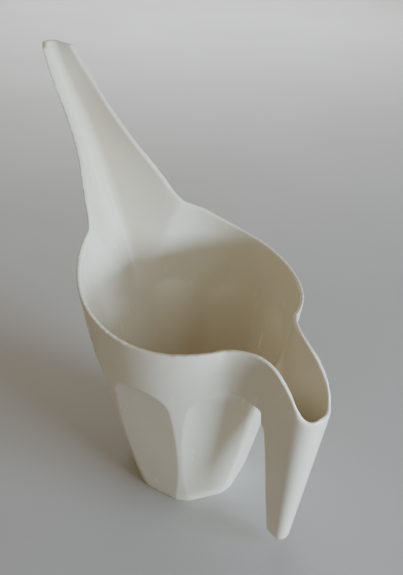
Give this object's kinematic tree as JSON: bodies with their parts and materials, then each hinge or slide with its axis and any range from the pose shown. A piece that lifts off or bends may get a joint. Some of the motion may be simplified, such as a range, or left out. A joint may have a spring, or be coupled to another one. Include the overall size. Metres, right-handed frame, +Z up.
{
  "type": "watering can",
  "caption": "Open one-piece watering can with a faceted tapering cup, a long open trough spout and a hollow hanging handle.",
  "frame": {"origin": "centre of the flat underside, on the cup's axis", "axes": "+Z up along the cup's axis, +X towards the spout, -X towards the handle, y = 0 the mirror plane"},
  "size_m": [0.2827, 0.1392, 0.2744],
  "materials": {
    "moulded_body": "satin"
  },
  "bodies": {
    "root": {"base_floor": "moulded_body", "faceted_cup": "moulded_body", "left_bowl_wall": "moulded_body", "right_bowl_wall": "moulded_body", "spout_trough": "moulded_body", "handle_bridge": "moulded_body", "hollow_handle": "moulded_body"}
  },
  "joints": []
}
